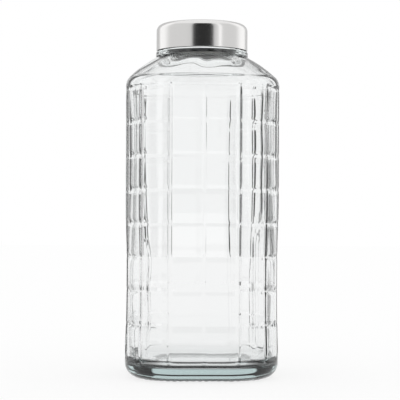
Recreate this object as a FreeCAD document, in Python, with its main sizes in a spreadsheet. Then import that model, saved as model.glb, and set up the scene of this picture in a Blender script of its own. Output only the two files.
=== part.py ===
# Square glass bottle with a windowpane grid moulded in its walls and a steel screw lid.
#
# The bottle is one piece of clear glass: a rounded-square body, a shoulder that turns from square
# to round, a ring under the lid and a plain finish that the lid covers. The lid is a steel shell
# over a plastic insert, and a soft seal inside it lies on the rim.
# Millimetres, +Z up, origin at the middle of the base, the front face towards -Y.
import FreeCAD, Part
import math
import os
import Sketcher

DIMENSIONS = {
    # body
    "body_width": 110.0,          # across the flat faces
    "corner_radius": 38.0,        # upright corners, outside
    "body_height": 208.7,         # top of the straight walls
    "wall": 3.0,
    "heel_radius": 11.0,          # outer edge of the base
    "floor_height": 9.5,          # inner floor above the ground
    "floor_radius": 9.0,          # inner edge of the floor
    "bearing_width": 6.0,         # ring that the base stands on
    "pushup_depth": 2.4,          # hollow under the base
    "pushup_slope": 8.0,          # width of the hollow's sloping side
    # shoulder
    "edge_radius": 10.0,          # from the walls into the shoulder
    "shoulder_rise": 22.6,        # from the straight walls to the neck
    "shoulder_bulge": 1.1,
    "neck_width": 65.6,           # where the shoulder meets the ring
    # finish
    "ring_width": 67.0,
    "ring_height": 4.4,
    "ring_edge_radius": 1.3,
    "finish_width": 57.6,         # glass inside the lid, without its thread
    "finish_height": 16.2,        # rim above the ring
    "bore_width": 51.0,
    "rim_radius": 1.4,
    # moulded grid
    "row_count": 9,
    "row_pitch": 23.84,
    "lowest_row": 15.6,           # above the ground
    "row_groove_radius": 2.7,
    "row_groove_depth": 0.9,
    "column_offset": 24.0,        # middle of a face to the next groove, along the wall
    "column_groove_radius": 2.1,
    "column_groove_depth": 0.8,
    # lid
    "ring_gap": 0.4,              # ring to the lid's lower edge
    "thread_height": 1.2,         # room for the thread round the finish
    "thread_clearance": 0.3,      # thread to the insert's bore
    "insert_wall": 2.2,
    "insert_top": 1.9,            # thickness of its ceiling
    "insert_recess": 0.6,         # the insert ends above the shell's lower edge
    "shell_clearance": 0.05,
    "shell_sheet": 0.7,
    "shell_edge_radius": 5.0,
    "seal_thickness": 1.0,
    "seal_clearance": 0.2,
}

TURN = 45            # degrees that the edge above the walls turns before the shoulder's slope
SLOPE = 39           # degrees, mean slope of the shoulder
ROUNDNESS = 0.985    # corner radius over half width where the shoulder meets the neck
SLOPE_SHARES = (0.25, 0.5, 0.75, 1.0)    # of the way up the slope, one section at each

doc = FreeCAD.newDocument("bottle")
dims = doc.addObject("Spreadsheet::Sheet", "dims")
for row, (alias, value) in enumerate(DIMENSIONS.items(), start=1):
    dims.set(f"A{row}", alias)
    dims.set(f"B{row}", str(value))
    dims.setAlias(f"B{row}", alias)

worked = doc.addObject("Spreadsheet::Sheet", "worked")
worked_rows = []


def work_out(alias, formula):
    """Add a cell to the sheet of sizes that follow from the driving ones."""
    worked_rows.append(alias)
    worked.set(f"A{len(worked_rows)}", alias)
    worked.set(f"B{len(worked_rows)}", "=" + formula)
    worked.setAlias(f"B{len(worked_rows)}", alias)
    return f"worked.{alias}"


def value_of(source):
    """Number behind 'dims.alias' or 'worked.alias', or a plain number."""
    if isinstance(source, (int, float)):
        return float(source)
    sheet_name, alias = source.split(".")
    return float(getattr(doc.getObject(sheet_name), alias))


half = work_out("half_width", "dims.body_width / 2")
flat_half = work_out("flat_half", "dims.body_width / 2 - dims.corner_radius")
neck_height = work_out("neck_height", "dims.body_height + dims.shoulder_rise")
ring_top = work_out("ring_top", "worked.neck_height + dims.ring_height")
rim_height = work_out("rim_height", "worked.ring_top + dims.finish_height")
lid_bottom = work_out("lid_bottom", "worked.ring_top + dims.ring_gap")
insert_bottom = work_out("insert_bottom", "worked.lid_bottom + dims.insert_recess")
seal_top = work_out("seal_top", "worked.rim_height + dims.seal_thickness")
insert_top = work_out("insert_top_height", "worked.seal_top + dims.insert_top")
lid_top = work_out("lid_top", "worked.insert_top_height + dims.shell_sheet")
insert_bore = work_out("insert_bore_radius",
                       "dims.finish_width / 2 + dims.thread_height + dims.thread_clearance")
insert_radius = work_out("insert_radius", "worked.insert_bore_radius + dims.insert_wall")
shell_bore = work_out("shell_bore_radius", "worked.insert_radius + dims.shell_clearance")
shell_radius = work_out("shell_radius", "worked.shell_bore_radius + dims.shell_sheet")
seal_radius = work_out("seal_radius", "worked.insert_bore_radius - dims.seal_clearance")
grid_height = work_out("grid_height", "dims.row_pitch * (dims.row_count - 1)")
doc.recompute()


def shoulder_sections(name, inset):
    """Half width, corner radius and height of each rounded square up the shoulder.

    The first three follow the round edge above the walls. The rest climb a slightly bulged slope
    to the neck, where the corners have grown until the square is round.
    """
    sections = []
    for number, angle in enumerate((0, TURN / 2, TURN)):
        sections.append((
            work_out(f"{name}_half_{number}",
                     f"dims.body_width / 2 - dims.edge_radius * (1 - cos({angle} deg))"
                     f" - {inset} * cos({angle} deg)"),
            work_out(f"{name}_corner_{number}",
                     f"dims.corner_radius - {inset} * cos({angle} deg)"),
            work_out(f"{name}_height_{number}",
                     f"dims.body_height + (dims.edge_radius - {inset}) * sin({angle} deg)")))
    for number, share in enumerate(SLOPE_SHARES, start=3):
        outer_half = (f"((dims.body_width / 2 - dims.edge_radius * (1 - cos({TURN} deg))) * {1 - share}"
                     f" + dims.neck_width / 2 * {share})")
        outer_height = (f"(dims.body_height + dims.edge_radius * sin({TURN} deg) * {1 - share}"
                       f" + dims.shoulder_rise * {share}"
                       f" + 4 * dims.shoulder_bulge * {share * (1 - share)})")
        section_half = work_out(f"{name}_half_{number}", f"{outer_half} - {inset} * sin({SLOPE} deg)")
        sections.append((
            section_half,
            work_out(f"{name}_corner_{number}",
                     f"(dims.corner_radius - {inset}) * {1 - share}"
                     f" + {section_half} * {ROUNDNESS * share}"),
            work_out(f"{name}_height_{number}", f"{outer_height} - {inset} * cos({SLOPE} deg)")))
    doc.recompute()
    return sections


outer_sections = shoulder_sections("outer", "0")
inner_sections = shoulder_sections("inner", "dims.wall")


def new_body(label):
    body = doc.addObject("PartDesign::Body", label)
    body.Label = label
    return body


def origin_item(body, role):
    return next(item for item in body.Origin.OriginFeatures if item.Role == role)


def new_sketch(body, name, plane="XY_Plane", height=None):
    """Sketch on one of the body's own origin planes, raised along its normal."""
    sketch = body.newObject("Sketcher::SketchObject", name)
    sketch.AttachmentSupport = [(origin_item(body, plane), "")]
    sketch.MapMode = "FlatFace"
    if height is not None:
        sketch.setExpression("AttachmentOffset.Base.z", height)
    return sketch


def bind(sketch, kind, *place, to):
    """Dimension a sketch from a sheet cell."""
    index = sketch.addConstraint(Sketcher.Constraint(kind, *place, value_of(to)))
    if not isinstance(to, (int, float)):
        sketch.setExpression(f"Constraints[{index}]", to)


def circle(sketch, radius, centre=(0, 0)):
    """Circle of a bound radius; whoever draws it ties its centre."""
    number = sketch.addGeometry(
        Part.Circle(FreeCAD.Vector(*centre, 0), FreeCAD.Vector(0, 0, 1), value_of(radius)))
    bind(sketch, "Radius", number, to=radius)
    return number


def rounded_square(sketch, half_source, corner_source):
    """Four lines and four tangent arcs round the origin."""
    outer, corner = value_of(half_source), value_of(corner_source)
    flat = outer - corner
    up = FreeCAD.Vector(0, 0, 1)
    for turn in range(4):
        spin = FreeCAD.Rotation(up, 90 * turn)
        start, end = FreeCAD.Vector(-flat, -outer, 0), FreeCAD.Vector(flat, -outer, 0)
        sketch.addGeometry(Part.LineSegment(spin.multVec(start), spin.multVec(end)))
        centre = spin.multVec(FreeCAD.Vector(flat, -flat, 0))
        angle = math.pi / 2 * (turn - 1)
        sketch.addGeometry(
            Part.ArcOfCircle(Part.Circle(centre, up, corner), angle, angle + math.pi / 2))
    for turn in range(4):
        line, arc = 2 * turn, 2 * turn + 1
        sketch.addConstraint(Sketcher.Constraint("Tangent", line, 2, arc, 1))
        sketch.addConstraint(Sketcher.Constraint("Tangent", arc, 2, (line + 2) % 8, 1))
        sketch.addConstraint(
            Sketcher.Constraint("Horizontal" if turn % 2 == 0 else "Vertical", line))
        if turn:
            sketch.addConstraint(Sketcher.Constraint("Equal", 1, arc))
    bind(sketch, "Radius", 1, to=corner_source)
    bind(sketch, "DistanceY", 0, 1, -1, 1, to=half_source)
    bind(sketch, "DistanceX", -1, 1, 2, 1, to=half_source)
    bind(sketch, "DistanceY", -1, 1, 4, 1, to=half_source)
    bind(sketch, "DistanceX", 6, 1, -1, 1, to=half_source)


def square_sketch(body, name, half_source, corner_source, height=None):
    sketch = new_sketch(body, name, height=height)
    rounded_square(sketch, half_source, corner_source)
    return sketch


def profile_sketch(body, name, points):
    """Closed outline in the XZ plane: each point is (radius, height), bound to the sheet."""
    sketch = new_sketch(body, name, "XZ_Plane")
    places = [FreeCAD.Vector(value_of(r), value_of(z), 0) for r, z in points]
    for number, place in enumerate(places):
        sketch.addGeometry(Part.LineSegment(place, places[(number + 1) % len(places)]))
    for number, (radius, height) in enumerate(points):
        sketch.addConstraint(
            Sketcher.Constraint("Coincident", number, 2, (number + 1) % len(points), 1))
        if radius == 0:
            sketch.addConstraint(Sketcher.Constraint("PointOnObject", number, 1, -2))
        else:
            bind(sketch, "DistanceX", -1, 1, number, 1, to=radius)
        bind(sketch, "DistanceY", -1, 1, number, 1, to=height)
    return sketch


def feature(body, kind, name, **settings):
    """Add a PartDesign feature; a string that names a sheet cell becomes an expression."""
    added = body.newObject(f"PartDesign::{kind}", name)
    for key, setting in settings.items():
        if isinstance(setting, str) and setting.startswith(("dims.", "worked.")):
            added.setExpression(key, setting)
        else:
            setattr(added, key, setting)
    return added


volumes = {}


def checked(body, added, grows):
    """Recompute after a feature and see that it added or took away material."""
    before = volumes.get(body.Name, 0.0)
    body.Tip = added
    doc.recompute()
    volume = added.Shape.Volume
    if "Invalid" in added.State or (volume > before) != grows:
        raise RuntimeError(f"{body.Label}.{added.Name} changed the volume from {before} to {volume}")
    volumes[body.Name] = volume
    return added


def edges_at(shape, height, radius=None):
    """Names of the edges that lie at one height, or of the circles of one radius there."""
    names = []
    for number, edge in enumerate(shape.Edges, start=1):
        box = edge.BoundBox
        if max(abs(box.ZMin - height), abs(box.ZMax - height)) > 0.01:
            continue
        if radius is None or abs(getattr(edge.Curve, "Radius", 0.0) - radius) < 0.01:
            names.append(f"Edge{number}")
    return names


def loft(body, kind, name, sections):
    """Loft through rounded squares, from the first section up to the last."""
    sketches = [square_sketch(body, f"{name}_{number}", *section)
                for number, section in enumerate(sections)]
    return feature(body, kind, name, Profile=sketches[0], Sections=sketches[1:], Ruled=False)


def build_blank(body):
    """Outside of the glass: straight walls, heel, shoulder, ring and finish.

    The turned neck starts inside the top of the shoulder's glass, so that the two are one.
    """
    walls = square_sketch(body, "wall_section", half, "dims.corner_radius")
    blank = checked(body, feature(body, "Pad", "walls", Profile=walls, Length="dims.body_height"), True)
    heel = feature(body, "Fillet", "heel", Base=(blank, edges_at(blank.Shape, 0)),
                   Radius="dims.heel_radius")
    checked(body, heel, False)
    checked(body, loft(body, "AdditiveLoft", "shoulder", outer_sections), True)
    neck = work_out("neck_radius", "dims.neck_width / 2 - dims.rim_radius")
    ring = work_out("ring_radius", "dims.ring_width / 2")
    finish = work_out("finish_radius", "dims.finish_width / 2")
    root = work_out("neck_root", "worked.neck_height - dims.wall / 2")
    inside = work_out("neck_inside", "dims.bore_width / 2 - dims.rim_radius")
    doc.recompute()
    outline = profile_sketch(body, "neck_outline", [
        (inside, root), (neck, root), (neck, neck_height), (ring, neck_height), (ring, ring_top),
        (finish, ring_top), (finish, rim_height), (inside, rim_height)])
    turned = feature(body, "Revolution", "neck", Profile=outline, Angle=360.0,
                     ReferenceAxis=(outline, ["V_Axis"]))
    checked(body, turned, True)
    ring_edge = edges_at(turned.Shape, value_of(ring_top), value_of(ring))
    bead = feature(body, "Fillet", "ring_edge", Base=(turned, ring_edge),
                   Radius="dims.ring_edge_radius")
    return checked(body, bead, False)


def hollow_out(body):
    """Inside of the glass: cavity with a rounded floor, inner shoulder and bore."""
    inner_half = work_out("inner_half", "dims.body_width / 2 - dims.wall")
    inner_corner = work_out("inner_corner", "dims.corner_radius - dims.wall")
    depth = work_out("cavity_depth", "dims.body_height - dims.floor_height")
    doc.recompute()
    plan = square_sketch(body, "cavity_section", inner_half, inner_corner, "dims.floor_height")
    cavity = feature(body, "Pocket", "cavity", Profile=plan, Length=depth, Reversed=True)
    checked(body, cavity, False)
    floor_edges = edges_at(cavity.Shape, float(dims.floor_height))
    floor = feature(body, "Fillet", "floor_corner", Base=(cavity, floor_edges),
                    Radius="dims.floor_radius")
    checked(body, floor, True)
    checked(body, loft(body, "SubtractiveLoft", "inner_shoulder", inner_sections), False)
    bore_root = work_out("bore_root", "worked.inner_height_6 - dims.wall")
    bore_depth = work_out("bore_depth", "worked.rim_height - worked.bore_root")
    bore_radius = work_out("bore_radius", "dims.bore_width / 2")
    doc.recompute()
    hole = new_sketch(body, "bore_section", height=bore_root)
    mouth = circle(hole, bore_radius)
    hole.addConstraint(Sketcher.Constraint("Coincident", mouth, 3, -1, 1))
    bore = feature(body, "Pocket", "bore", Profile=hole, Length=bore_depth, Reversed=True)
    return checked(body, bore, False)


def hollow_base(body):
    """Shallow hollow under the base, inside the ring that the bottle stands on."""
    edge = work_out("pushup_edge", "dims.body_width / 2 - dims.heel_radius - dims.bearing_width")
    edge_corner = work_out("pushup_edge_corner",
                           "dims.corner_radius - dims.heel_radius - dims.bearing_width")
    top = work_out("pushup_top", "worked.pushup_edge - dims.pushup_slope")
    top_corner = work_out("pushup_top_corner", "worked.pushup_edge_corner - dims.pushup_slope")
    doc.recompute()
    lower = square_sketch(body, "pushup_lower", edge, edge_corner)
    upper = square_sketch(body, "pushup_upper", top, top_corner, "dims.pushup_depth")
    hollow = feature(body, "SubtractiveLoft", "pushup", Profile=lower, Sections=[upper], Ruled=True)
    return checked(body, hollow, False)


def cut_rows(body):
    """Level grooves: a round tool runs along the wall, repeated up the body."""
    reach = work_out("row_tool_half",
                     "dims.body_width / 2 + dims.row_groove_radius - dims.row_groove_depth")
    corner = work_out("row_tool_corner",
                      "dims.corner_radius + dims.row_groove_radius - dims.row_groove_depth")
    doc.recompute()
    path = square_sketch(body, "row_path", reach, corner, "dims.lowest_row")
    tool = new_sketch(body, "row_tool", "XZ_Plane")
    number = circle(tool, "dims.row_groove_radius", (value_of(reach), value_of("dims.lowest_row")))
    bind(tool, "DistanceX", -1, 1, number, 3, to=reach)
    bind(tool, "DistanceY", -1, 1, number, 3, to="dims.lowest_row")
    groove = feature(body, "SubtractivePipe", "row_groove", Profile=tool, Spine=path,
                     Transition="Transformed")
    checked(body, groove, False)
    rows = feature(body, "LinearPattern", "rows", Originals=[groove],
                   Direction=(origin_item(body, "Z_Axis"), [""]), Length=grid_height,
                   Occurrences="dims.row_count")
    return checked(body, rows, False)


def cut_columns(body):
    """Upright grooves on one face and its corner, repeated round the four faces."""
    reach = work_out("column_tool_half",
                     "dims.body_width / 2 + dims.column_groove_radius - dims.column_groove_depth")
    arm = work_out("column_tool_arm",
                   "dims.corner_radius + dims.column_groove_radius - dims.column_groove_depth")
    turn = work_out("column_turn", "(dims.column_offset - worked.flat_half) / dims.corner_radius")
    doc.recompute()
    angle = value_of(turn)
    flat, swing = value_of(flat_half), value_of(arm)
    side = (flat + swing * math.sin(angle), -flat - swing * math.cos(angle))
    corner = (flat + swing * math.sin(math.pi / 4), -flat - swing * math.cos(math.pi / 4))
    tools = new_sketch(body, "column_tools", height="dims.lowest_row")
    for centre in ((0.0, -value_of(reach)), side, (-side[0], side[1]), corner):
        circle(tools, "dims.column_groove_radius", centre)
    tools.addConstraint(Sketcher.Constraint("PointOnObject", 0, 3, -2))
    bind(tools, "DistanceY", 0, 3, -1, 1, to=reach)
    for tool in (1, 2, 3):
        place_on_corner(tools, tool, -1 if tool == 2 else 1, arm, turn if tool < 3 else None)
    groove = feature(body, "Pocket", "column_grooves", Profile=tools, Length=grid_height,
                     Reversed=True)
    checked(body, groove, False)
    columns = feature(body, "PolarPattern", "columns", Originals=[groove],
                      Axis=(origin_item(body, "Z_Axis"), [""]), Angle=360.0, Occurrences=4)
    return checked(body, columns, False)


def place_on_corner(sketch, tool, side, arm, turn):
    """Tie a tool's centre to the centre of a corner's arc: a line of a set length and slope."""
    flat = value_of(flat_half)
    centre = sketch.Geometry[tool].Center
    root = FreeCAD.Vector(side * flat, -flat, 0)
    line = sketch.addGeometry(Part.LineSegment(root, centre), True)
    sketch.addConstraint(Sketcher.Constraint("Coincident", line, 2, tool, 3))
    if side > 0:
        bind(sketch, "DistanceX", -1, 1, line, 1, to=flat_half)
    else:
        bind(sketch, "DistanceX", line, 1, -1, 1, to=flat_half)
    bind(sketch, "DistanceY", line, 1, -1, 1, to=flat_half)
    bind(sketch, "Distance", line, to=arm)
    across = f"{arm} * sin(45 deg)" if turn is None else f"{arm} * sin({turn} * 1 rad)"
    reach = work_out(f"tool_reach_{tool}", across)
    doc.recompute()
    if side > 0:
        bind(sketch, "DistanceX", line, 1, line, 2, to=reach)
    else:
        bind(sketch, "DistanceX", line, 2, line, 1, to=reach)


def soften_rim(body):
    """Round the rim's two edges."""
    rim = edges_at(body.Tip.Shape, value_of(rim_height))
    softened = feature(body, "Fillet", "rim", Base=(body.Tip, rim), Radius="dims.rim_radius")
    return checked(body, softened, False)


def turned_body(label, points):
    """Body made by turning one outline about the axis."""
    body = new_body(label)
    outline = profile_sketch(body, f"{label}_outline", points)
    turned = feature(body, "Revolution", f"{label}_turned", Profile=outline, Angle=360.0,
                     ReferenceAxis=(outline, ["V_Axis"]))
    checked(body, turned, True)
    return body


def build_shell():
    """Steel cup of the lid: flat top, round edge and a plain skirt."""
    body = turned_body("lid_shell", [
        (0, insert_top), (shell_bore, insert_top), (shell_bore, lid_bottom),
        (shell_radius, lid_bottom), (shell_radius, lid_top), (0, lid_top)])
    rim = edges_at(body.Shape, value_of(lid_top))
    inner_edge = work_out("shell_inner_edge", "dims.shell_edge_radius - dims.shell_sheet")
    doc.recompute()
    rounded = feature(body, "Fillet", "shell_edge", Base=(body.Tip, rim),
                      Radius="dims.shell_edge_radius")
    checked(body, rounded, False)
    ceiling = edges_at(body.Shape, value_of(insert_top))
    rounded = feature(body, "Fillet", "shell_inner_edge", Base=(body.Tip, ceiling), Radius=inner_edge)
    return checked(body, rounded, True)


def build_insert():
    """Plastic cup of the lid, which the thread turns on; its ceiling presses the seal."""
    body = turned_body("lid_insert", [
        (0, seal_top), (insert_bore, seal_top), (insert_bore, insert_bottom),
        (insert_radius, insert_bottom), (insert_radius, insert_top), (0, insert_top)])
    edge = work_out("insert_edge", "dims.shell_edge_radius - dims.shell_sheet")
    doc.recompute()
    rim = edges_at(body.Shape, value_of(insert_top))
    rounded = feature(body, "Fillet", "insert_edge", Base=(body.Tip, rim), Radius=edge)
    return checked(body, rounded, False)


def build_seal():
    """Soft disc between the rim and the insert's ceiling."""
    return turned_body("lid_seal", [
        (0, rim_height), (seal_radius, rim_height), (seal_radius, seal_top), (0, seal_top)])


bottle = new_body("bottle")
build_blank(bottle)
hollow_out(bottle)
hollow_base(bottle)
soften_rim(bottle)
cut_columns(bottle)
cut_rows(bottle)
build_shell()
build_insert()
build_seal()
doc.recompute()

for item in doc.Objects:
    if "Invalid" in item.State or "Error" in item.State:
        raise RuntimeError(f"{item.Name} failed: {item.State}")
os.makedirs("parts", exist_ok=True)
for body in [item for item in doc.Objects if item.isDerivedFrom("PartDesign::Body")]:
    shape = body.Shape
    if shape.isNull() or not shape.isValid() or len(shape.Solids) != 1:
        raise RuntimeError(f"{body.Label} is not one valid solid")
    shape.exportStep(f"parts/{body.Label}.step")
    print(body.Label, round(shape.Volume / 1000, 2), "cm3", len(shape.Faces), "faces")
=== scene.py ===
import math

import bpy
import numpy as np
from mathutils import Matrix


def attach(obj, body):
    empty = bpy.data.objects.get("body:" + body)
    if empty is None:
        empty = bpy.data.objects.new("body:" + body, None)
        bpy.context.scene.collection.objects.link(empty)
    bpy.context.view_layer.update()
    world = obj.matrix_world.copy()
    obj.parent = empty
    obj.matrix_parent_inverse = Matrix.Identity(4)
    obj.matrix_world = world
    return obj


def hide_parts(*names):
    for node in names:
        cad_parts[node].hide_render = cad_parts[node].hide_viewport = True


# An empty rounded-square bottle of clear moulded glass with a windowpane grid, closed by a
# brushed steel screw lid. Sizes in the dictionaries are millimetres unless a note says otherwise.

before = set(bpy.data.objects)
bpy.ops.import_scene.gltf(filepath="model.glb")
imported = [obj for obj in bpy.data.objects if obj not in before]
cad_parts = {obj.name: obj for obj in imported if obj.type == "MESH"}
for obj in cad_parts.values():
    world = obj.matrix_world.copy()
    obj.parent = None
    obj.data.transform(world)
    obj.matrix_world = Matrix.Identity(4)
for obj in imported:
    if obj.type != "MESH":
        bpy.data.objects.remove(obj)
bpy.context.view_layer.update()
mm = 0.001


def linearColour(hexColour):
    # sRGB hex to the linear values that shaders take
    channels = [int(hexColour[i:i + 2], 16) / 255 for i in (1, 3, 5)]
    return [c / 12.92 if c <= 0.04045 else ((c + 0.055) / 1.055) ** 2.4 for c in channels] + [1.0]


def addNode(tree, kind, settings=None, links=None):
    # settings: attributes or input values by name; links: input name or number -> output socket
    node = tree.nodes.new(kind)
    for name, value in (settings or {}).items():
        if isinstance(name, str) and hasattr(node, name):
            setattr(node, name, value)
        else:
            node.inputs[name].default_value = value
    for name, socket in (links or {}).items():
        tree.links.new(socket, node.inputs[name])
    return node


def newMaterial(name):
    material = bpy.data.materials.new(name)
    material.use_nodes = True
    material.node_tree.nodes.clear()
    return material, material.node_tree


def meshPiece(name, points, faces, material):
    mesh = bpy.data.meshes.new(name)
    mesh.from_pydata(points.tolist(), [], faces)
    mesh.shade_smooth()
    piece = bpy.data.objects.new(name, mesh)
    bpy.context.scene.collection.objects.link(piece)
    mesh.materials.append(material)
    return piece


# The bottle is one closed skin: rings of points from the middle of the base, up the outside, over
# the rim and down the inside. An octant is the stretch from the middle of a face to a corner's middle.
bottle = dict(
    half=55.0, corner=38.0, wall=3.0,               # the body: a rounded square with an even wall
    rowLow=15.6, rowPitch=23.84, rowCount=9,        # level grooves, from the lowest up
    rowRadius=2.4, rowDepth=0.6,                    # the depth is the one on the corners
    rowFace=0.25,                                   # share of that depth in the middle of a face
    rowDeepens=0.3, rowDeepensOver=0.6,             # where it grows to the full depth, in octants
    columnOffset=24.0,                              # from the middle upright groove to the next
    columnRadius=2.6, columnDepth=0.5,              # upright groove in the middle of a face
    sideRadius=2.1, sideDepth=0.8,                  # upright grooves beside it
    cornerRadius=2.1, cornerDepth=0.8,              # upright groove on each corner
    columnFade=3.0,                                 # they run out over this, above and below the grid
    grooveBlend=4,                                  # how sharply rows and columns run together
    softRim=0.05,                                   # how far the moulded rim of a groove is rounded
    waist=0.9, waistHeight=70.0, waistReach=38.0,   # the walls draw in a little, low on the body
    heel=11.0, bearingIn=17.0,                      # round of the heel, width of heel and bearing ring
    pushUp=2.4, pushUpSlope=8.0, pushUpEdge=1.5,    # the hollow under the base
    tip=0.6, tipCorner=0.55,                        # innermost ring of the base, and its corner's share
    bodyTop=208.7, edge=10.0,                       # top of the straight walls, and the round above
    neck=32.8, neckHeight=231.3, bulge=1.1,         # the shoulder swells this far above a straight line
    neckRoundness=0.985,                            # corner over half where the shoulder meets the neck
    ring=33.5, ringRise=0.3, ringTop=235.7, ringEdge=1.3,
    finish=28.8, rim=251.9, rimRound=1.4, bore=25.5,
    threadHeight=1.0, threadHalf=1.5, threadPitch=5.0, threadLow=239.6, threadTurns=1.6,
    threadEnd=12,                                   # it rises from nothing over one part in 12 of a turn
    threadShape=1.5,                                # power that rounds its crest
    shoulderSlope=39.0,                             # degrees, at the neck
    boreMeet=1.0, boreStop=1.2,                     # where the bore runs into the inner shoulder
    floor=9.5, floorRound=9.0, leastCorner=1.0,
    # the inside of blown glass is never quite even: waves are (count round, rise per radian, size,
    # start), and near the neck (count round, start)
    unevenness=0.12, unevenWaves=((7, 41.0, 1.0, 0.0), (11, -29.0, 0.7, 1.0)),
    evenBelow=30.0, evenAbove=20.0,                 # they grow and die away over these heights
    neckWave=0.3, neckWaves=((6, 0.0), (11, 1.3)), neckWaveLow=218.0, neckWaveOver=8.0,
    # soft upright ridges inside the front wall; low and high are places from the middle of the face
    ridges=(
        {"low": 38.2, "high": 45.1, "bendHeight": 108.0, "bendReach": 8.0, "sway": 0.4,
         "from": 20.0, "to": 206.0, "height": 0.9, "width": 1.2},
        {"low": -43.5, "high": -43.5, "bendHeight": 50.0, "bendReach": 20.0, "sway": 0.7,
         "from": 18.0, "to": 96.0, "height": 0.9, "width": 1.3},
    ),
    ridgeWander=6.0, ridgeEnd=12.0,                 # rise per radian of the sway, and fade at the ends
    toothCount=72, toothDepth=1.1, toothHalf=44.0, toothReach=6.0,   # knurl on the bearing ring
    # how finely the skin is divided: panes, then each part on the way up, over and down
    cellColumns=19, cellStations=12, columnCrowding=0.65, rowCrowding=0.8,
    steps=dict(
        base=5, pushUp=9, bearing=10, heel=12, belowGrid=9, aboveGrid=8, edge=10, shoulder=17,
        neck=5, ring=6, ringEdge=9, ringTop=6, finish=20, rim=9, inEdge=10, inShoulder=18,
        bore=7, inWall=38, inCorner=12, inFloor=16),
)
flat = bottle["half"] - bottle["corner"]
octant = flat + bottle["corner"] * math.pi / 4
steps = bottle["steps"]
rightAngle = math.pi / 2


def smooth(share):
    # eases a share from 0 to 1 at both ends
    return share * share * (3 - 2 * share)


def crowded(count, strength):
    # count steps from 0 to 1, closer together at both ends
    u = np.arange(count) / count
    return u - strength * np.sin(2 * np.pi * u) / (2 * np.pi)


def columnShares():
    # places round the bottle, in octants from the middle of the front face
    marks = [0.0, bottle["columnOffset"] / octant, 1.0]
    marks += [2 - mark for mark in marks[-2::-1]]
    between = crowded(bottle["cellColumns"], bottle["columnCrowding"])
    face = np.concatenate([low + (high - low) * between for low, high in zip(marks, marks[1:])])
    return np.concatenate([face + 2 * k for k in range(4)])


def outline(half, corner, shares):
    # points and outward directions of a rounded square, at places round it in octants
    straight = half - corner
    side = np.floor((shares + 1) / 2)
    local = shares - 2 * side
    along = np.abs(local) * (straight + corner * np.pi / 4)
    angle = np.clip((along - straight) / max(corner, 1e-6), 0, None)
    sign = np.sign(local)
    x = (np.minimum(along, straight) + corner * np.sin(angle)) * sign
    y = -(straight + corner * np.cos(angle))
    outX, outY = np.sin(angle) * sign, -np.cos(angle)
    turn = side * np.pi / 2
    cosine, sine = np.cos(turn), np.sin(turn)
    return (np.stack([x * cosine - y * sine, x * sine + y * cosine], 1),
            np.stack([outX * cosine - outY * sine, outX * sine + outY * cosine], 1))


def baseCorner(half):
    # the square of the base gets rounder towards its middle
    return max(half - flat, half * bottle["tipCorner"])


# each of the next functions gives rings as (half, corner, height, part), in the order of the skin

def underneath():
    heelStart = bottle["half"] - bottle["heel"]
    inner = bottle["half"] - bottle["bearingIn"]
    centre = inner - bottle["pushUpSlope"]
    rings = []
    for half in np.linspace(bottle["tip"], centre - bottle["pushUpEdge"], steps["base"]):
        rings.append((half, baseCorner(half), bottle["pushUp"], "under"))
    for u in np.linspace(0, 1, steps["pushUp"]):
        half = centre + (inner - centre) * u
        rings.append((half, half - flat, bottle["pushUp"] * (0.5 + 0.5 * math.cos(math.pi * u)), "under"))
    for u in np.linspace(0, 1, steps["bearing"])[1:]:
        half = inner + (heelStart - inner) * u
        rings.append((half, half - flat, 0.0, "bearing"))
    for angle in np.linspace(0, rightAngle, steps["heel"])[1:]:
        half = heelStart + bottle["heel"] * math.sin(angle)
        rings.append((half, half - flat, bottle["heel"] * (1 - math.cos(angle)), "heel"))
    return rings


def outerWalls():
    heights = list(np.linspace(bottle["heel"], bottle["rowLow"], steps["belowGrid"])[1:-1])
    for k in range(bottle["rowCount"] - 1):
        for u in crowded(bottle["cellStations"], bottle["rowCrowding"]):
            heights.append(bottle["rowLow"] + bottle["rowPitch"] * (k + u))
    topRow = bottle["rowLow"] + bottle["rowPitch"] * (bottle["rowCount"] - 1)
    heights += list(np.linspace(topRow, bottle["bodyTop"], steps["aboveGrid"]))
    return [(bottle["half"], bottle["corner"], z, "wall") for z in heights]


def outerShoulder():
    rings = []
    for angle in np.linspace(0, math.pi / 4, steps["edge"])[1:]:
        half = bottle["half"] - bottle["edge"] * (1 - math.cos(angle))
        z = bottle["bodyTop"] + bottle["edge"] * math.sin(angle)
        rings.append((half, bottle["corner"], z, "shoulder"))
    halfStart, zStart = rings[-1][0], rings[-1][2]
    neckCorner = bottle["neckRoundness"] * bottle["neck"]
    for u in np.linspace(0, 1, steps["shoulder"])[1:]:
        half = halfStart + (bottle["neck"] - halfStart) * u
        z = zStart + (bottle["neckHeight"] - zStart) * u + 4 * bottle["bulge"] * u * (1 - u)
        rings.append((half, bottle["corner"] + (neckCorner - bottle["corner"]) * u, z, "shoulder"))
    return rings


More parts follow.
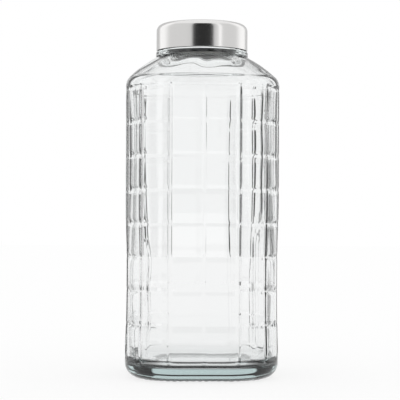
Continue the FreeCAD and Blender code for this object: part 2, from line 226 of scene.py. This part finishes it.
def ringAndFinish():
    # all round from here up, so the corner is as large as the half
    profile = []
    for u in np.linspace(0, 1, steps["neck"])[1:]:
        half = bottle["neck"] + (bottle["ring"] - bottle["neck"]) * u
        profile.append((half, bottle["neckHeight"] + bottle["ringRise"] * u, "ring"))
    ringLow = bottle["neckHeight"] + bottle["ringRise"]
    for z in np.linspace(ringLow, bottle["ringTop"] - bottle["ringEdge"], steps["ring"])[1:]:
        profile.append((bottle["ring"], z, "ring"))
    for angle in np.linspace(0, rightAngle, steps["ringEdge"])[1:]:
        half = bottle["ring"] - bottle["ringEdge"] * (1 - math.cos(angle))
        profile.append((half, bottle["ringTop"] - bottle["ringEdge"] * (1 - math.sin(angle)), "ring"))
    for u in np.linspace(0, 1, steps["ringTop"])[1:]:
        span = bottle["finish"] - bottle["ring"] + bottle["ringEdge"]
        profile.append((bottle["ring"] - bottle["ringEdge"] + span * u, bottle["ringTop"], "ring"))
    for z in np.linspace(bottle["ringTop"], bottle["rim"] - bottle["rimRound"], steps["finish"])[1:]:
        profile.append((bottle["finish"], z, "finish"))
    for angle in np.linspace(0, rightAngle, steps["rim"])[1:]:
        half = bottle["finish"] - bottle["rimRound"] * (1 - math.cos(angle))
        profile.append((half, bottle["rim"] - bottle["rimRound"] * (1 - math.sin(angle)), "rim"))
    for angle in np.linspace(0, rightAngle, steps["rim"]):
        half = bottle["bore"] + bottle["rimRound"] * (1 - math.sin(angle))
        profile.append((half, bottle["rim"] - bottle["rimRound"] * (1 - math.cos(angle)), "rim"))
    return [(half, half, z, part) for half, z, part in profile]


def boreAndInnerShoulder():
    # the inner shoulder is the outer one moved in by the wall, worked out upwards and then turned over
    wall, innerEdge = bottle["wall"], bottle["edge"] - bottle["wall"]
    rounded = []
    for angle in np.linspace(0, math.pi / 4, steps["inEdge"]):
        half = bottle["half"] - bottle["edge"] + innerEdge * math.cos(angle)
        rounded.append((half, bottle["corner"] - wall, bottle["bodyTop"] + innerEdge * math.sin(angle)))
    halfStart, cornerStart, zStart = rounded[-1]
    slope = math.radians(bottle["shoulderSlope"])
    halfEnd = bottle["neck"] - wall * math.sin(slope)
    zEnd = bottle["neckHeight"] - wall * math.cos(slope)
    sloped = []
    for u in np.linspace(0, 1, steps["inShoulder"])[1:]:
        half = halfStart + (halfEnd - halfStart) * u
        corner = cornerStart + (bottle["neckRoundness"] * halfEnd - cornerStart) * u
        sloped.append((half, corner, zStart + (zEnd - zStart) * u + 4 * bottle["bulge"] * u * (1 - u)))
    sloped = [ring for ring in sloped if ring[0] > bottle["bore"] + bottle["boreMeet"]]
    boreTop, boreLow = bottle["rim"] - bottle["rimRound"], sloped[-1][2] + bottle["boreStop"]
    heights = np.linspace(boreTop, boreLow, steps["bore"])[1:]
    rings = [(bottle["bore"], bottle["bore"], z, "bore") for z in heights]
    rings += [(half, min(corner, half), z, "inShoulder") for half, corner, z in sloped[::-1]]
    rings += [(half, corner, z, "inShoulder") for half, corner, z in rounded[-2::-1]]
    return rings


def innerWallsAndFloor():
    half, corner = bottle["half"] - bottle["wall"], bottle["corner"] - bottle["wall"]
    roundTop = bottle["floor"] + bottle["floorRound"]
    heights = np.linspace(bottle["bodyTop"], roundTop, steps["inWall"])[1:]
    rings = [(half, corner, z, "inWall") for z in heights]
    for angle in np.linspace(0, rightAngle, steps["inCorner"])[1:]:
        drawnIn = bottle["floorRound"] * (1 - math.cos(angle))
        z = bottle["floor"] + bottle["floorRound"] * (1 - math.sin(angle))
        rings.append((half - drawnIn, max(corner - drawnIn, bottle["leastCorner"]), z, "inFloor"))
    for h in np.linspace(half - bottle["floorRound"], bottle["tip"], steps["inFloor"])[1:]:
        rings.append((h, baseCorner(h), bottle["floor"], "inFloor"))
    return rings


def grooveDepth(distance, radius, depth):
    # a round-bottomed groove whose rims are rounded over
    notInGroove = -5.0                              # far enough below zero that the rounding leaves nothing
    raw = depth - (radius - np.sqrt(np.clip(radius * radius - distance * distance, 0, None)))
    raw = np.where(np.abs(distance) < radius, raw, notInGroove)
    return bottle["softRim"] * np.logaddexp(0, raw / bottle["softRim"])


def columnDepths(local):
    # depth of the upright grooves at each place round the body
    mark = bottle["columnOffset"] / octant
    distance = np.minimum(np.minimum(local, np.abs(local - mark)), 1 - local) * octant
    middle = grooveDepth(distance, bottle["columnRadius"], bottle["columnDepth"])
    beside = grooveDepth(distance, bottle["sideRadius"], bottle["sideDepth"])
    onCorner = grooveDepth(distance, bottle["cornerRadius"], bottle["cornerDepth"])
    return np.where(local > (1 + mark) / 2, onCorner, np.where(local > mark / 2, beside, middle))


def gridDepth(z, local, columns):
    # how far the grid and the waist take the outside in at a height
    rowHeights = bottle["rowLow"] + bottle["rowPitch"] * np.arange(bottle["rowCount"])
    toCorner = np.clip((local - bottle["rowDeepens"]) / bottle["rowDeepensOver"], 0, 1)
    share = bottle["rowFace"] + (1 - bottle["rowFace"]) * smooth(toCorner)
    toRow = np.array(np.min(np.abs(z - rowHeights)))
    row = grooveDepth(toRow, bottle["rowRadius"], bottle["rowDepth"]) * share
    beyond = max(rowHeights[0] - z, z - rowHeights[-1], 0.0)
    fade = smooth(np.clip((bottle["columnFade"] - beyond) / bottle["columnFade"], 0, 1))
    blend = bottle["grooveBlend"]
    deeper = ((columns * fade) ** blend + row ** blend) ** (1 / blend)
    fromWaist = (z - bottle["waistHeight"]) / bottle["waistReach"]
    return deeper + bottle["waist"] * math.exp(-fromWaist ** 4)


def innerUnevenness(z, shares):
    around = 2 * np.pi * shares / 8
    fade = (np.clip((z - bottle["floor"]) / bottle["evenBelow"], 0, 1)
            * np.clip((bottle["bodyTop"] - z) / bottle["evenAbove"], 0, 1))
    uneven = sum(size * np.sin(count * around + z / height + start)
                 for count, height, size, start in bottle["unevenWaves"])
    inwards = bottle["unevenness"] * fade * uneven
    along = (shares - 8 * (shares > 4)) * octant
    for ridge in bottle["ridges"]:
        bend = 0.5 + 0.5 * math.tanh((z - ridge["bendHeight"]) / ridge["bendReach"])
        sway = ridge["sway"] * math.sin(z / bottle["ridgeWander"])
        centre = ridge["low"] + (ridge["high"] - ridge["low"]) * bend + sway
        ends = (np.clip((z - ridge["from"]) / bottle["ridgeEnd"], 0, 1)
                * np.clip((ridge["to"] - z) / bottle["ridgeEnd"], 0, 1))
        inwards = inwards + ridge["height"] * ends * np.exp(-((along - centre) / ridge["width"]) ** 2)
    return inwards


def neckUnevenness(z, shares):
    around = 2 * np.pi * shares / 8
    near = np.clip((z - bottle["neckWaveLow"]) / bottle["neckWaveOver"], 0, 1)
    waves = sum(np.sin(count * around + start) for count, start in bottle["neckWaves"])
    return bottle["neckWave"] * near * waves


def threadProud(z, angle):
    # how far the screw thread stands out of the finish at a height
    turn = (angle % (2 * np.pi)) / (2 * np.pi)
    proud = 0.0
    for lap in range(-1, 3):                        # every lap that could reach this height
        along = turn + lap
        centre = bottle["threadLow"] + bottle["threadPitch"] * along
        ends = np.clip(np.minimum(along, bottle["threadTurns"] - along) * bottle["threadEnd"], 0, 1)
        shape = np.clip(1 - ((z - centre) / bottle["threadHalf"]) ** 2, 0, None) ** bottle["threadShape"]
        proud = proud + bottle["threadHeight"] * ends * shape
    return proud


def knurlRise(half, shares):
    # the fine teeth on which the bottle stands
    reach = np.clip(1 - abs(half - bottle["toothHalf"]) / bottle["toothReach"], 0, 1)
    teeth = 0.5 + 0.5 * np.cos(shares / 8 * 2 * np.pi * bottle["toothCount"])
    return bottle["toothDepth"] * teeth * reach


def skin(rings):
    # joins each ring to the next, and closes the first and the last in the middle
    count, columns = rings.shape[:2]
    middles = np.array([[0, 0, bottle["pushUp"]], [0, 0, bottle["floor"]]])
    points = np.concatenate([rings.reshape(-1, 3) * mm, middles * mm])
    i = np.arange(count - 1)[:, None] * columns
    j = np.arange(columns)[None, :]
    after = (j + 1) % columns
    faces = np.stack([i + j, i + after, i + columns + after, i + columns + j], 2).reshape(-1, 4).tolist()
    under, floorMiddle, last = count * columns, count * columns + 1, (count - 1) * columns
    faces += [[under, (k + 1) % columns, k] for k in range(columns)]
    faces += [[floorMiddle, last + k, last + (k + 1) % columns] for k in range(columns)]
    return points, faces


def glassBottle(material):
    shares = columnShares()
    local = np.abs(shares - 2 * np.floor((shares + 1) / 2))
    columns = columnDepths(local)
    circle = outline(1.0, 1.0, shares)[0]
    angle = np.arctan2(circle[:, 0], -circle[:, 1])
    stations = underneath() + outerWalls() + outerShoulder() + ringAndFinish()
    stations += boreAndInnerShoulder() + innerWallsAndFloor()
    rings = []
    for half, corner, z, part in stations:
        points, out = outline(half, corner, shares)
        height = np.full(len(shares), float(z))
        inwards = np.zeros(len(shares))
        if part in ("heel", "wall", "shoulder"):
            inwards = gridDepth(z, local, columns)
        if part in ("inWall", "inFloor"):
            inwards = innerUnevenness(z, shares)
        if part == "inShoulder":
            inwards = neckUnevenness(z, shares)
        if part == "finish":
            inwards = -threadProud(z, angle)
        if part in ("bearing", "heel"):
            height = height + knurlRise(half, shares)
        x = points[:, 0] - out[:, 0] * inwards
        y = points[:, 1] - out[:, 1] * inwards
        rings.append(np.stack([x, y, height], 1))
    points, faces = skin(np.array(rings))
    return meshPiece("glassBottle", points, faces, material)


# soda-lime glass, pressed and blown in a mould: clear, fire-polished, faintly blue-green in depth
clear = dict(
    surface="#FFFFFF", roughness=0.0, ior=1.52,
    depthColour="#BCD2D2", density=14.0,            # per metre of glass
)


def clearGlass():
    material, tree = newMaterial("sodaLimeGlassMoulded")
    shader = addNode(tree, "ShaderNodeBsdfPrincipled", {
        "Base Color": linearColour(clear["surface"]), "Roughness": clear["roughness"],
        "IOR": clear["ior"], "Transmission Weight": 1.0})
    depth = addNode(tree, "ShaderNodeVolumeAbsorption", {
        "Color": linearColour(clear["depthColour"]), "Density": clear["density"]})
    addNode(tree, "ShaderNodeOutputMaterial", links={
        "Surface": shader.outputs[0], "Volume": depth.outputs[0]})
    return material


glass = glassBottle(clearGlass())
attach(glass, "root")
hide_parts("bottle")
print("bottle", len(glass.data.polygons), "faces")


# stainless steel, spun and brushed round its axis: a soft satin grey whose highlights run up and
# down the side
steel = dict(
    colour="#D3D2D1", roughnessLow=0.13, roughnessHigh=0.18, anisotropic=0.6,
    lineWidth=0.3125,                               # real brush lines are finer, too fine to show
    lineDetail=2.0, lineRoughness=0.6, lineHeight=0.1, lineStrength=0.06,
)


def brushedSteel():
    material, tree = newMaterial("stainlessSteelBrushed")
    where = addNode(tree, "ShaderNodeTexCoord")
    split = addNode(tree, "ShaderNodeSeparateXYZ", links={0: where.outputs["Object"]})
    squares = []
    for axis in (0, 1):
        product = {0: split.outputs[axis], 1: split.outputs[axis]}
        squares.append(addNode(tree, "ShaderNodeMath", {"operation": "MULTIPLY"}, product))
    total = addNode(tree, "ShaderNodeMath", {"operation": "ADD"}, {
        0: squares[0].outputs[0], 1: squares[1].outputs[0]})
    radius = addNode(tree, "ShaderNodeMath", {"operation": "SQRT"}, {0: total.outputs[0]})
    # lines follow the distance from the axis and the height, so they run round the lid
    brushed = addNode(tree, "ShaderNodeCombineXYZ", links={0: radius.outputs[0], 2: split.outputs[2]})
    lines = addNode(tree, "ShaderNodeTexNoise", {
        "Scale": 1 / (steel["lineWidth"] * mm), "Detail": steel["lineDetail"],
        "Roughness": steel["lineRoughness"]}, {"Vector": brushed.outputs[0]})
    bump = addNode(tree, "ShaderNodeBump", {
        "Strength": steel["lineStrength"], "Distance": steel["lineHeight"] * mm},
        {"Height": lines.outputs[0]})
    tone = addNode(tree, "ShaderNodeMapRange", {
        "To Min": steel["roughnessLow"], "To Max": steel["roughnessHigh"]}, {"Value": lines.outputs[0]})
    turned = addNode(tree, "ShaderNodeTangent", {"direction_type": "RADIAL", "axis": "Z"})
    shader = addNode(tree, "ShaderNodeBsdfPrincipled", {
        "Base Color": linearColour(steel["colour"]), "Metallic": 1.0, "Anisotropic": steel["anisotropic"]},
        {"Roughness": tone.outputs[0], "Normal": bump.outputs[0], "Tangent": turned.outputs[0]})
    addNode(tree, "ShaderNodeOutputMaterial", links={"Surface": shader.outputs[0]})
    return material


# polypropylene, injection moulded: dark grey with a fine matt skin. The grey is set darker than the plastic's
# own, as painted shade inside the lid
plastic = dict(
    # colour: the plastic's own dark grey, made darker still by painted shade
    colour="#141516", roughness=0.5, ior=1.49,
    grainWidth=1.1111,                              # the real grain is finer, too fine to show
    grainDetail=2.0, grainHeight=0.1, grainStrength=0.1,
)


def darkPlasticAndShade():
    material, tree = newMaterial("polypropyleneMoulded")
    where = addNode(tree, "ShaderNodeTexCoord")
    grain = addNode(tree, "ShaderNodeTexNoise", {
        "Scale": 1 / (plastic["grainWidth"] * mm), "Detail": plastic["grainDetail"]},
        {"Vector": where.outputs["Object"]})
    bump = addNode(tree, "ShaderNodeBump", {
        "Strength": plastic["grainStrength"], "Distance": plastic["grainHeight"] * mm},
        {"Height": grain.outputs[0]})
    shader = addNode(tree, "ShaderNodeBsdfPrincipled", {
        "Base Color": linearColour(plastic["colour"]), "Roughness": plastic["roughness"],
        "IOR": plastic["ior"]}, {"Normal": bump.outputs[0]})
    addNode(tree, "ShaderNodeOutputMaterial", links={"Surface": shader.outputs[0]})
    return material


# polyethylene foam sheet, die cut: soft, pale and quite matt
foam = dict(
    colour="#E4E2DA", roughness=0.85,
    cellWidth=0.8333,                               # real foam cells are finer, too fine to show
    cellHeight=0.2, cellStrength=0.2,
)


def paleFoam():
    material, tree = newMaterial("polyethyleneFoamCut")
    where = addNode(tree, "ShaderNodeTexCoord")
    cells = addNode(tree, "ShaderNodeTexVoronoi", {
        "Scale": 1 / (foam["cellWidth"] * mm)}, {"Vector": where.outputs["Object"]})
    bump = addNode(tree, "ShaderNodeBump", {
        "Strength": foam["cellStrength"], "Distance": foam["cellHeight"] * mm}, {"Height": cells.outputs[0]})
    shader = addNode(tree, "ShaderNodeBsdfPrincipled", {
        "Base Color": linearColour(foam["colour"]), "Roughness": foam["roughness"]},
        {"Normal": bump.outputs[0]})
    addNode(tree, "ShaderNodeOutputMaterial", links={"Surface": shader.outputs[0]})
    return material


finishes = (("lid_shell", brushedSteel()), ("lid_insert", darkPlasticAndShade()), ("lid_seal", paleFoam()))
for node, material in finishes:
    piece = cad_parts[node]
    piece.data.materials.clear()
    piece.data.materials.append(material)
print("lid finishes")


stand = dict(
    distance=952.0, height=116.5,
    turn=2.5, roll=-0.3,                            # degrees
    lens=117.0, sensor=36.0, shiftX=-0.00275, shiftY=0.0375,
    near=0.05, far=50,                              # metres
)


def placeCamera():
    camera = bpy.data.objects.new("camera", bpy.data.cameras.new("camera"))
    bpy.context.scene.collection.objects.link(camera)
    camera.data.lens = stand["lens"]
    camera.data.sensor_width = stand["sensor"]
    camera.data.shift_x, camera.data.shift_y = stand["shiftX"], stand["shiftY"]
    camera.data.clip_start, camera.data.clip_end = stand["near"], stand["far"]
    turn, distance = math.radians(stand["turn"]), stand["distance"] * mm
    camera.location = (-distance * math.sin(turn), -distance * math.cos(turn), stand["height"] * mm)
    camera.rotation_euler = (rightAngle, math.radians(stand["roll"]), -turn)
    bpy.context.scene.camera = camera


# The camera and matt surfaces see an even white world. Mirrored rays and rays that came through
# glass each see surroundings of their own, with dark parts, which draw the edges of glass and metal.
light = dict(
    white="#FFFFFF", even=1.0, overheadLevel=1.2,
    fold=45.0,                                      # degrees: what glass shows repeats on all four sides
    # name: (angle it follows, from and to in degrees, level before, level after)
    bands=dict(
        wall=("off", 38, 48, 0.75, 1.4),            # mirrored: behind the bottle, brighter beyond its middle
        sides=("off", 66, 92, 1.0, 0.68),
        room=("off", 152, 155, 1.0, 0.03),          # dark behind the camera
        boxStart=("azimuth", 131, 133, 0.0, 0.6),   # a soft box to the right of the camera
        boxEnd=("azimuth", 139, 141, 1.0, 0.0),
        overhead=("rise", 46, 50, 0.0, 1.0),        # a soft box overhead
        panelNear=("folded", 16, 18, 0.97, 0.0),    # through glass: pale, then dark, then pale
        panelFar=("folded", 37, 39, 0.0, 0.97),
        ceiling=("rise", 40, 46, 1.0, 0.02),        # dark above
        ground=("rise", -0.3, 0.3, 0.95, 1.0),      # a little dimmer below the horizon
    ),
)


def lightWorld():
    world = bpy.data.worlds.new("studio")
    bpy.context.scene.world = world
    world.use_nodes = True
    tree = world.node_tree
    tree.nodes.clear()
    where = addNode(tree, "ShaderNodeTexCoord")
    split = addNode(tree, "ShaderNodeSeparateXYZ", links={0: where.outputs["Generated"]})
    path = addNode(tree, "ShaderNodeLightPath")
    # degrees from the direction straight behind the bottle, positive to the right, and above the horizon
    sideways = addNode(tree, "ShaderNodeMath", {"operation": "ARCTAN2"}, {
        0: split.outputs[0], 1: split.outputs[1]})
    upwards = addNode(tree, "ShaderNodeMath", {"operation": "ARCSINE"}, {0: split.outputs[2]})
    made = {
        "azimuth": addNode(tree, "ShaderNodeMath", {"operation": "DEGREES"}, {0: sideways.outputs[0]}),
        "rise": addNode(tree, "ShaderNodeMath", {"operation": "DEGREES"}, {0: upwards.outputs[0]}),
    }
    made["off"] = addNode(tree, "ShaderNodeMath", {"operation": "ABSOLUTE"}, {0: made["azimuth"].outputs[0]})
    made["folded"] = addNode(tree, "ShaderNodeMath", {"operation": "PINGPONG", 1: light["fold"]}, {
        0: made["off"].outputs[0]})
    for name, (follows, low, high, before, after) in light["bands"].items():
        made[name] = addNode(tree, "ShaderNodeMapRange", {
            "interpolation_type": "SMOOTHSTEP", "From Min": low, "From Max": high,
            "To Min": before, "To Max": after}, {"Value": made[follows].outputs[0]})
    for name, operation, one, other in (
            ("lit", "MULTIPLY", "wall", "sides"), ("litRoom", "MULTIPLY", "lit", "room"),
            ("box", "MULTIPLY", "boxStart", "boxEnd"), ("level", "ADD", "litRoom", "box"),
            ("panel", "ADD", "panelNear", "panelFar"), ("upDown", "MULTIPLY", "ceiling", "ground"),
            ("through", "MULTIPLY", "upDown", "panel")):
        made[name] = addNode(tree, "ShaderNodeMath", {"operation": operation}, {
            0: made[one].outputs[0], 1: made[other].outputs[0]})
    mirrored = addNode(tree, "ShaderNodeMix", {"data_type": "FLOAT", 3: light["overheadLevel"]}, {
        0: made["overhead"].outputs[0], 2: made["level"].outputs[0]})
    # a ray that last went through glass counts as glossy too, so it is told apart by its own output
    special = addNode(tree, "ShaderNodeMix", {"data_type": "FLOAT"}, {
        0: path.outputs["Is Transmission Ray"], 2: mirrored.outputs[0], 3: made["through"].outputs[0]})
    either = addNode(tree, "ShaderNodeMath", {"operation": "MAXIMUM"}, {
        0: path.outputs["Is Glossy Ray"], 1: path.outputs["Is Transmission Ray"]})
    strength = addNode(tree, "ShaderNodeMix", {"data_type": "FLOAT", 2: light["even"]}, {
        0: either.outputs[0], 3: special.outputs[0]})
    background = addNode(tree, "ShaderNodeBackground", {"Color": linearColour(light["white"])}, {
        "Strength": strength.outputs[0]})
    addNode(tree, "ShaderNodeOutputWorld", links={"Surface": background.outputs[0]})


# acrylic sheet, cast: pale and even. Through glass it is a little dimmer, and it has a painted contact
# shadow:
# a dark ring under the heel that only rays through glass see, in place of the dark that close contact gives
sheet = dict(
    reach=4000.0, drop=0.2, colour="#FAFAFA", glow="#FFFFFF",
    glowShare=0.8,                                  # plain white to camera, mirrors and glass
    throughGlass=0.92,
    shadowRingSquareness=4.0,                             # the painted shadow ring follows the rounded square of the base
    shadowRingInner=(30.0, 36.0), shadowRingOuter=(46.0, 50.0), # where the painted shadow darkens and clears, from the axis
)


def layFloor():
    reach = sheet["reach"] * mm
    points = np.array([[-reach, -reach, 0], [reach, -reach, 0], [reach, reach, 0], [-reach, reach, 0]], float)
    points[:, 2] = -sheet["drop"] * mm
    material, tree = newMaterial("paleAcrylicSheet")
    path = addNode(tree, "ShaderNodeLightPath")
    seen = addNode(tree, "ShaderNodeMath", {"operation": "MAXIMUM"}, {
        0: path.outputs["Is Camera Ray"], 1: path.outputs["Is Transmission Ray"]})
    seenToo = addNode(tree, "ShaderNodeMath", {"operation": "MAXIMUM"}, {
        0: seen.outputs[0], 1: path.outputs["Is Glossy Ray"]})
    share = addNode(tree, "ShaderNodeMath", {"operation": "MULTIPLY", 1: sheet["glowShare"]}, {
        0: seenToo.outputs[0]})
    matt = addNode(tree, "ShaderNodeBsdfDiffuse", {"Color": linearColour(sheet["colour"])})
    dimmed = addNode(tree, "ShaderNodeMapRange", {"To Min": 1.0, "To Max": sheet["throughGlass"]}, {
        "Value": path.outputs["Is Transmission Ray"]})
    where = addNode(tree, "ShaderNodeTexCoord")
    split = addNode(tree, "ShaderNodeSeparateXYZ", links={0: where.outputs["Object"]})
    powers = []
    for axis in (0, 1):
        away = addNode(tree, "ShaderNodeMath", {"operation": "ABSOLUTE"}, {0: split.outputs[axis]})
        powers.append(addNode(tree, "ShaderNodeMath", {"operation": "POWER", 1: sheet["shadowRingSquareness"]}, {
            0: away.outputs[0]}))
    total = addNode(tree, "ShaderNodeMath", {"operation": "ADD"}, {
        0: powers[0].outputs[0], 1: powers[1].outputs[0]})
    distance = addNode(tree, "ShaderNodeMath", {"operation": "POWER", 1: 1 / sheet["shadowRingSquareness"]}, {
        0: total.outputs[0]})
    # painted contact shadow: for rays through glass the floor's glow drops to nothing between the ring's
    # inner and outer edges
    sides = []
    for (low, high), before, after in ((sheet["shadowRingInner"], 1.0, 0.0), (sheet["shadowRingOuter"], 0.0, 1.0)):
        sides.append(addNode(tree, "ShaderNodeMapRange", {
            "interpolation_type": "SMOOTHSTEP", "From Min": low * mm, "From Max": high * mm,
            "To Min": before, "To Max": after}, {"Value": distance.outputs[0]}))
    ring = addNode(tree, "ShaderNodeMath", {"operation": "MAXIMUM"}, {
        0: sides[0].outputs[0], 1: sides[1].outputs[0]})
    shaded = addNode(tree, "ShaderNodeMath", {"operation": "MULTIPLY"}, {
        0: dimmed.outputs[0], 1: ring.outputs[0]})
    level = addNode(tree, "ShaderNodeMix", {"data_type": "FLOAT", 2: 1.0}, {
        0: path.outputs["Is Transmission Ray"], 3: shaded.outputs[0]})
    glow = addNode(tree, "ShaderNodeEmission", {"Color": linearColour(sheet["glow"])}, {
        "Strength": level.outputs[0]})
    both = addNode(tree, "ShaderNodeMixShader", links={
        0: share.outputs[0], 1: matt.outputs[0], 2: glow.outputs[0]})
    addNode(tree, "ShaderNodeOutputMaterial", links={"Surface": both.outputs[0]})
    floor = meshPiece("floor", points, [[0, 1, 2, 3]], material)


placeCamera()
lightWorld()
layFloor()
bpy.context.scene.view_settings.view_transform = "Standard"
print("studio")
